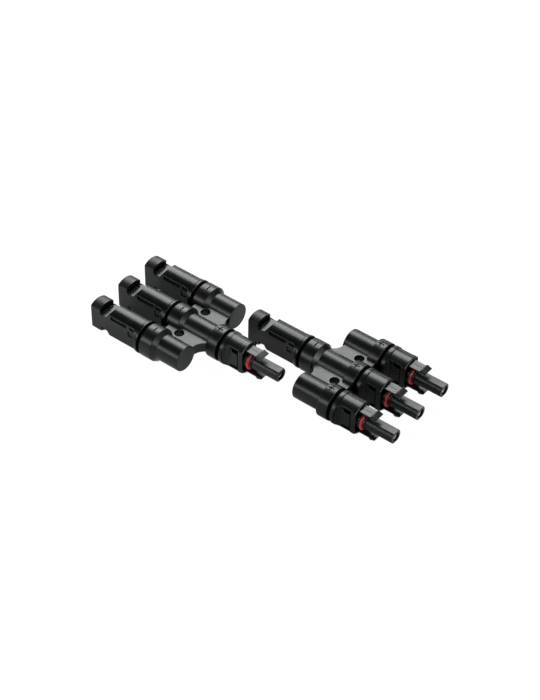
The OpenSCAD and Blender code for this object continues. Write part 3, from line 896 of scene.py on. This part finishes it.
def stage_plane(name, z, material):
    """A flat square stage object."""
    corners = [(-STAGE_HALF, -STAGE_HALF, 0), (STAGE_HALF, -STAGE_HALF, 0)]
    corners += [(STAGE_HALF, STAGE_HALF, 0), (-STAGE_HALF, STAGE_HALF, 0)]
    mesh = bpy.data.meshes.new(name)
    mesh.from_pydata(corners, [], [(0, 1, 2, 3)])
    mesh.materials.append(material)
    plane = bpy.data.objects.new(name, mesh)
    bpy.context.scene.collection.objects.link(plane)
    plane.location.z = z
    return plane


def outside_painted_shade(n):
    """Mask for painted shade: 1 on the open floor, 0 between the rows of a unit, where the shade is
    painted.
    """
    shade = 0.0
    for unit, x0, x_fade, x1 in SHADED:
        start = UNIT_ORIGIN[unit]
        reach = PITCH * 0.98
        part = 1.0
        for axis, low, low_fade, high in (
            ("X", start.x + x0, x_fade, start.x + x1), ("Y", start.y - reach, FADE, start.y + reach),
        ):
            place = n.along(axis)
            part = n.math("MULTIPLY", n.remap(place, low * MM, (low + low_fade) * MM, 0, 1), part)
            part = n.math("MULTIPLY", n.remap(place, (high - FADE) * MM, high * MM, 1, 0), part)
        shade = n.math("MAXIMUM", part, shade)
    return n.math("SUBTRACT", 1.0, shade)


def white_floor():
    """The floor that the camera sees: glowing white, with painted shade right under the object and between
    the rows.
    """
    n = Nodes("floor_white_painted_shade")
    free = outside_painted_shade(n)
    glow = FLOOR_GLOW
    # Painted shade: ambient occlusion dims the floor's glow right under the object everywhere, and between
    # the rows
    for reach, dark, bright, elsewhere in ((1.2, 0.1, 0.7, 0.0), (25, 0.12, 0.6, free)):
        shade = n.tree.nodes.new("ShaderNodeAmbientOcclusion")
        shade.samples = 8
        shade.inputs["Distance"].default_value = reach * MM
        lit = n.math("MAXIMUM", n.remap(shade.outputs["AO"], dark, bright, 0, 1), elsewhere)
        glow = n.math("MULTIPLY", lit, glow)
    # Painted shade: the floor's own colour is black between the rows
    n.set(base_color=n.blend(free, (0, 0, 0), (0.1, 0.1, 0.1)), roughness=0.9, specular_ior_level=0.0)
    n.set(emission_color=(1, 1, 1), emission_strength=glow)
    floor = stage_plane("floor", cad_low.z - 0.1 * MM, n.material)
    floor.visible_glossy = floor.visible_shadow = False


def glowing_reflection_table():
    """The table top that the black plastic mirrors; nothing else sees it. Its glow and grey paint the
    reflections and their shade on the plastic.
    """
    n = Nodes("table_painted_reflection")
    x = n.along("X")
    # Painted reflections: the glow falls from left to right, and past the nose tips of unit B it is very
    # bright, for their rims
    glow = n.remap(x, -0.1, 0.05, TABLE_GLOW_LEFT, TABLE_GLOW_RIGHT)
    glow = n.math("ADD", glow, n.remap(x, 0.106, 0.116, 0, TABLE_GLOW_BEYOND))
    # Painted shade in the reflections: the table is darker grey towards the right
    painted_shade_tone = n.blend(n.remap(x, 0.02, 0.06, 0, 1), (0.31, 0.32, 0.335), (0.12, 0.125, 0.13))
    n.set(base_color=painted_shade_tone, roughness=1.0, specular_ior_level=0.0)
    # Painted shade between the rows, in the reflections too
    n.set(emission_color=(1, 1, 1), emission_strength=n.math("MULTIPLY", outside_painted_shade(n), glow))
    table = stage_plane("table", cad_low.z - 0.2 * MM, n.material)
    table.visible_camera = table.visible_diffuse = table.visible_shadow = False


def backdrop():
    """White all round, for the camera only."""
    made = bmesh.new()
    bmesh.ops.create_icosphere(made, subdivisions=4, radius=BACKDROP_R)
    mesh = bpy.data.meshes.new("backdrop")
    made.to_mesh(mesh)
    made.free()
    mesh.materials.append(Nodes("backdrop_white").set(
        base_color=(0, 0, 0), specular_ior_level=0.0, emission_color=(1, 1, 1), emission_strength=1.0,
    ))
    shell = bpy.data.objects.new("backdrop", mesh)
    bpy.context.scene.collection.objects.link(shell)
    shell.visible_glossy = shell.visible_diffuse = shell.visible_shadow = False


def soft_box(name, azimuth, elevation, distance, size, radiance, roll=0.0):
    """An area light that looks at the object; azimuth is from +X towards +Y."""
    turn, rise = math.radians(azimuth), math.radians(elevation)
    toward = Vector((math.cos(turn) * math.cos(rise), math.sin(turn) * math.cos(rise), math.sin(rise)))
    data = bpy.data.lights.new(name, "AREA")
    data.shape = "RECTANGLE"
    data.size, data.size_y = size
    data.energy = radiance * math.pi * size[0] * size[1]
    lamp = bpy.data.objects.new(name, data)
    bpy.context.scene.collection.objects.link(lamp)
    lamp.location = (cad_low + cad_high) / 2 + toward * distance
    lamp.rotation_mode = "QUATERNION"
    lamp.rotation_quaternion = toward.to_track_quat("Z", "Y") @ Quaternion((0, 0, 1), math.radians(roll))
    data.color = LIGHT_COLOUR
    return lamp


def studio_light():
    """A soft key from behind, cards low behind and in front, and one on the right for the gloss."""
    world = bpy.data.worlds.new("studio")
    world.use_nodes = True
    back = world.node_tree.nodes["Background"]
    back.inputs["Color"].default_value = (0.9, 0.95, 1.0, 1)
    back.inputs["Strength"].default_value = 0.03
    bpy.context.scene.world = world
    soft_box("key", 124, 46, 1.0, (0.88, 0.62), 7.8, roll=-42)
    soft_box("low_card", 120, 11, 1.1, (0.9, 0.14), 2.4)
    soft_box("front_card", 240, 23, 1.0, (0.9, 0.26), 5.0)
    side = soft_box("right_card", 0, 25, 1.0, (1.6, 0.4), 7.0)
    side.visible_diffuse = False


def photo_camera():
    """Camera at the photograph's viewing angle."""
    azimuth, elevation, roll = (math.radians(a) for a in (37.157, 42.180, 1.430))
    distance = 1.05493
    aim = (cad_low + cad_high) / 2 + Vector((1.605, 0.574, 0)) * MM
    back = Vector((
        math.sin(azimuth) * math.cos(elevation),
        -math.cos(azimuth) * math.cos(elevation),
        math.sin(elevation),
    ))
    level = Vector((math.cos(azimuth), math.sin(azimuth), 0))
    upright = back.cross(level)
    right = math.cos(roll) * level + math.sin(roll) * upright
    up = math.cos(roll) * upright - math.sin(roll) * level
    data = bpy.data.cameras.new("photo_camera")
    data.sensor_width = 36.0
    data.lens = 89.5
    data.clip_start, data.clip_end = 0.01, 20
    camera = bpy.data.objects.new("photo_camera", data)
    bpy.context.scene.collection.objects.link(camera)
    turn = Matrix((right, up, back)).transposed().to_4x4()
    camera.matrix_world = Matrix.Translation(aim + back * distance) @ turn
    bpy.context.scene.camera = camera


white_floor()
glowing_reflection_table()
backdrop()
studio_light()
photo_camera()
bpy.context.scene.view_settings.view_transform = "Standard"

bpy.context.view_layer.update()
